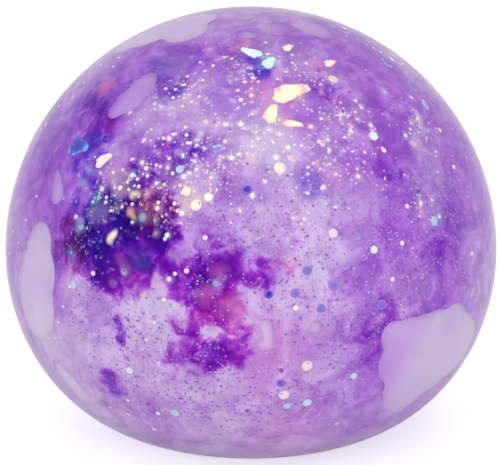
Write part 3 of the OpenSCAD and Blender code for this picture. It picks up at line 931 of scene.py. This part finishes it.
def flake_material(name, colours, metallic, gloss, rim_colour, fade):
    """Flakes: each takes its own colour along the row, with a fine grain over its face and a softer rim."""
    material, tree, shader = new_material(name)
    shade, rim = (kept(tree, key) for key in ("shade", "rim"))
    wander = stretched(tree, grain(tree, scale=2600, detail=2), 0.25, 0.75, -0.2, 0.2)
    own = ramp(tree, math_node(tree, "ADD", shade, wander), colours)
    colour = mixed(tree, stretched(tree, rim, 0.4, 1, 0, fade), own, rgba(rim_colour))
    feed(tree, shader, {"Base Color": colour, "Metallic": metallic, "Roughness": 0.3,
                        "Specular IOR Level": gloss})
    return material


def film_material(name, colours, painted_glow_strength):
    """Film that splits light: the colour runs along the row from the middle of each snip to its rim, and the
    snip glows with painted light in that colour.
    """
    material, tree, shader = new_material(name)
    shade, rim = (kept(tree, key) for key in ("shade", "rim"))
    swirls = grain(tree, scale=700, detail=2, roughness=0.5, swirl=1.0)
    bands = stretched(tree, swirls, 0.25, 0.75, -0.24, 0.24)
    spread = math_node(tree, "ADD", stretched(tree, rim, 0.35, 1, 0, 0.36), bands)
    colour = ramp(tree, math_node(tree, "ADD", shade, spread), colours)
    # Painted glow: the film gives off light in its own colour
    feed(tree, shader, {"Base Color": colour, "Emission Color": colour, "Emission Strength": painted_glow_strength,
                        "Metallic": 0.2, "Roughness": 0.3})
    return material


def plug_material():
    """Milky violet rubber with a fine moulded grain."""
    material, tree, shader = new_material("plug_rubber")
    fine = grain(tree, scale=1800, detail=4)
    broad = grain(tree, scale=240, detail=2)
    colour = mixed(tree, stretched(tree, broad, 0.35, 0.65), rgba(LILAC), rgba(GREY_LILAC))
    feed(tree, shader, {"Base Color": colour, "Roughness": stretched(tree, fine, 0.3, 0.7, 0.4, 0.6),
                        "Normal": bump(tree, fine, strength=0.15, distance=0.1 * MM)})
    return material


# Dressing the nodes: the film's colours from the middle of a snip outwards; the hologram's pale yellow and
# pale cyan middles are painted highlights

HOLOGRAM = [(0.98, 0.93, 0.64), (0.98, 0.88, 0.46), (0.97, 0.42, 0.5), (0.78, 0.9, 0.98), (0.5, 0.9, 0.62)]
BLUE_FILM = [(0.04, 0.04, 0.46), (0.09, 0.16, 0.7), (0.3, 0.6, 0.84), (0.98, 0.9, 0.7)]


def dress(piece, body, slot, *nodes):
    """The piece stands for its CAD nodes and moves with their body."""
    store_places(piece.data)
    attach(piece, body)
    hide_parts(*nodes)
    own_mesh(piece)


def dress_skin():
    """The clear skin, over everything else."""
    skin = make_skin()
    skin.data.materials.append(skin_material())
    dress(skin, "base", "clear_skin", "skin")


def dress_filling():
    """Both gels, painted, with painted reflection on the floors of their pockets."""
    floor = pocket_material()
    for piece, body, gel in zip(make_filling(), ("base", "crown"), ("pearl_gel", "violet_gel")):
        paint(piece)
        piece.data.materials.clear()
        piece.data.materials.append(filling_material(gel))
        piece.data.materials.append(floor)
        centres = np.array([face.center for face in piece.data.polygons])
        deep = inset_of(centres) > GEL_INSET + POCKET_LIP
        off_the_line = np.abs(centres[:, 2] - GEL_LINE_Z) > ON_THE_LINE
        piece.data.polygons.foreach_set("material_index", (deep & off_the_line).astype(np.int32))
        dress(piece, body, gel, gel)


def dress_clouds():
    """Every dye cloud, painted as the gel round it is."""
    dye = filling_material("dye")
    for name, body, lobes in CLOUDS:
        cloud = make_cloud(name + "_dye", lobes)
        paint(cloud)
        cloud.data.materials.clear()
        cloud.data.materials.append(dye)
        dress(cloud, body, "dye", name)


# Finer flakes: where they lie, places tried, first place, least share of places, widest in millimetres
FINER = {
    "gold_glitter": (SPARKLE, 6000, 400, 0.03, 0.6),
    "violet_specks": (PEPPER, 4000, 7000, 0.05, 0.4),
}

# Sines of their lowest and highest angle, narrowest as a share of the widest, room to spare, and clumps
FINER_BAND = (-0.93, 0.985)
FINER_NARROWEST = 0.4
FINER_ROOM = 0.5
CLUMP_SIZE = 2.5 * MM
CLUMP_MIDDLE = 0.6
CLUMP_SWING = 1.2


def finer(zones, count, start, least, widest):
    """Many finer flakes in clumps, thick inside the zones and thin outside: bearing, angle and width."""
    bearing, angle = scattered(count, start, *FINER_BAND)
    points, _ = wall(bearing, angle, GEL_INSET)
    clumps = np.array([noise.noise(Vector(p) / CLUMP_SIZE) for p in points])
    thick = thickness(points, zones) * np.clip(CLUMP_MIDDLE + CLUMP_SWING * clumps, 0, 1)
    place = np.arange(count)
    chance = fraction(place * STEP_CHANCE)
    width = widest * (FINER_NARROWEST + (1 - FINER_NARROWEST) * fraction(place * STEP_ROUND) ** 3)
    used = (chance < np.maximum(thick, least)) & is_free(bearing, angle, FINER_ROOM)
    return np.array([bearing[used], angle[used], width[used]])


# Kinds of flake: name, sides, slot, metal, gloss, colours from full to dulled, rim's colour and strength
KINDS = [
    ("gold_glitter", HEXAGON, "gold", 0.3, 0.5, GOLD, (0.95, 0.7, 0.62), 0.4),
    ("violet_specks", HEXAGON, "violet_speck", 0, 0, PEPPER_COLOURS, LILAC, 0.6),
    ("blue_dots", DISC, "blue_dot", 0, 0,
     [(0.015, 0.02, 0.5), (0.2, 0.13, 0.66), (0.27, 0.19, 0.68), (0.16, 0.1, 0.6)], LILAC, 0.6),
    ("cream_discs", DISC, "cream", 0.1, 0.5,
     [(0.98, 0.94, 0.7), (0.94, 0.86, 0.66), (0.82, 0.74, 0.64), (0.74, 0.66, 0.7)], (0.9, 0.66, 0.6), 0.5),
    ("mint_flakes", HEXAGON, "mint", 0.2, 0.5,
     [(0.6, 0.9, 0.84), (0.42, 0.72, 0.8), (0.58, 0.78, 0.78), (0.45, 0.74, 0.78)], (0.4, 0.48, 0.74), 0.5),
    ("silver_hexes", HEXAGON, "silver", 0.3, 0.5,
     [(0.97, 0.97, 0.93), (0.7, 0.86, 0.82), (0.66, 0.74, 0.84), (0.85, 0.88, 0.85)], (0.5, 0.66, 0.78), 0.6),
]


# A flake's own chance gives its turn, its two leans and its place along the colours
FIRST_CHANCE = 0.37
LEAN_STEPS = (7.1, 13.7)
MOST_LEAN = 0.3
NEAREST_SPREAD = 0.15


def dress_flakes():
    """Every kind of flake, one piece for each level of the filling."""
    more = {kind: finer(*how) for kind, how in FINER.items()}
    models = {sides: model_flake(sides) for sides in (HEXAGON, DISC)}
    for kind, sides, slot, metallic, gloss, colours, rim_colour, fade in KINDS:
        material = flake_material(slot, colours, metallic, gloss, rim_colour, fade)
        for level, (low, high) in LEVELS.items():
            node = f"{level}_{kind}"
            flakes = flakes_of(node)
            if kind in more:
                inside = (more[kind][1] >= low) & (more[kind][1] < high)
                flakes = np.hstack([flakes, more[kind][:, inside]])
            bearing, angle, width = flakes
            chance = fraction(np.arange(len(bearing)) * STEP_CHANCE + FIRST_CHANCE)
            lean = np.stack([fraction(chance * step) - 0.5 for step in LEAN_STEPS], 1) * MOST_LEAN
            nearest = thickness(wall(bearing, angle, GEL_INSET)[0], NEAREST) > 0.5
            least, spread = DULLED[level]
            shade = np.where(nearest, NEAREST_SPREAD * chance, least + spread * chance)
            piece = lay_flakes(node + "_shine", models[sides], bearing, angle, 360 * chance,
                               width, width, shade, lean)
            piece.data.materials.append(material)
            dress(piece, level, slot, node)
    for model in models.values():
        bpy.data.objects.remove(model)


# Film: node, snips, slot, colours, strength of the painted glow
FILM = [
    ("hologram_shards", SHARDS, "hologram", HOLOGRAM, 0.2),
    ("blue_chips", CHIPS, "blue_chip", BLUE_FILM, 0),
]


def dress_film():
    """The large snips of film, which lie flat."""
    snip = model_snip()
    for node, rows, slot, colours, painted_glow_strength in FILM:
        bearing, angle, turn, length, width, shade = np.array(rows, float).T
        flat = np.zeros((len(rows), 2))
        piece = lay_flakes(node + "_film", snip, bearing, angle, turn, length, width, shade, flat)
        piece.data.materials.append(film_material(slot, colours, painted_glow_strength))
        dress(piece, "crown", slot, node)
    bpy.data.objects.remove(snip)


def dress_plug():
    """The CAD's own plug, in its rubber."""
    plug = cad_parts["filling_plug"]
    store_places(plug.data)
    rubber = plug_material()
    for slot in plug.material_slots:
        slot.material = rubber


# Studio: light from the room, the floor's own light, and lamps as name, place, size and power

ROOM_LIGHT = 0.75
FLOOR_LIGHT = 0.45
FLOOR_SIZE = 4
FLOOR_Z = -0.1 * MM
WHITE = (1, 1, 1)
PAPER = (0.9, 0.9, 0.9)
LAMPS = [
    ("key", (-0.5, -0.8, 0.5), 0.7, 2.5),
    ("fill", (0.6, -0.8, 0.2), 0.7, 2.5),
    ("top", (0, 0.2, 1.1), 1.0, 1),
]
LAMPS_AIM = Vector((0, 0, 30 * MM))

# Camera: degrees above level, distance, point it aims at, and lens and sensor in millimetres
CAMERA_RISE = math.radians(17)
CAMERA_DISTANCE = 0.42
CAMERA_AIM = Vector((-0.14 * MM, 0, 28.36 * MM))
CAMERA_LENS = 211.9
CAMERA_SENSOR = 36


def shows_white(tree):
    """Pure white to the eye, also through the skin, and plain light elsewhere."""
    ray = add(tree, "LightPath")
    return math_node(tree, "MAXIMUM", ray.outputs["Is Camera Ray"], ray.outputs["Is Transmission Ray"])


def make_world():
    """A white room that lights the ball from all round."""
    world = bpy.data.worlds.new("studio")
    bpy.context.scene.world = world
    world.use_nodes = True
    tree = world.node_tree
    light = stretched(tree, shows_white(tree), 0, 1, ROOM_LIGHT, 1)
    feed(tree, tree.nodes["Background"], {"Color": rgba(WHITE), "Strength": light})


def make_floor():
    """Pale paper under the ball."""
    bpy.ops.mesh.primitive_plane_add(size=FLOOR_SIZE, location=(0, 0, FLOOR_Z))
    floor = bpy.context.active_object
    floor.name = "floor"
    material, tree, shader = new_material("floor_paper")
    light = stretched(tree, shows_white(tree), 0, 1, 0, FLOOR_LIGHT)
    feed(tree, shader, {"Base Color": rgba(PAPER), "Roughness": 0.9, "Specular IOR Level": 0,
                        "Emission Color": rgba(WHITE), "Emission Strength": light})
    floor.data.materials.append(material)


def aim(stand, direction):
    """Turns a lamp or a camera to look in a direction."""
    stand.rotation_euler = direction.to_track_quat("-Z", "Y").to_euler()


def make_lamps():
    """Soft lamps that don't show in the skin."""
    for name, place, size, power in LAMPS:
        lamp = bpy.data.lights.new(name, "AREA")
        lamp.size = size
        lamp.energy = power
        stand = bpy.data.objects.new(name, lamp)
        stand.location = place
        aim(stand, LAMPS_AIM - Vector(place))
        stand.visible_glossy = False
        stand.visible_transmission = False
        bpy.context.scene.collection.objects.link(stand)


def make_camera():
    """A long lens in front of the ball and a little above it."""
    camera = bpy.data.cameras.new("camera")
    camera.sensor_fit = "HORIZONTAL"
    camera.sensor_width = CAMERA_SENSOR
    camera.lens = CAMERA_LENS
    stand = bpy.data.objects.new("camera", camera)
    back = Vector((0, -math.cos(CAMERA_RISE), math.sin(CAMERA_RISE)))
    stand.location = CAMERA_AIM + back * CAMERA_DISTANCE
    aim(stand, -back)
    bpy.context.scene.collection.objects.link(stand)
    bpy.context.scene.camera = stand


bpy.context.scene.view_settings.view_transform = "Standard"
make_camera()
make_world()
make_floor()
make_lamps()
dress_plug()
dress_skin()
dress_filling()
dress_clouds()
dress_flakes()
dress_film()
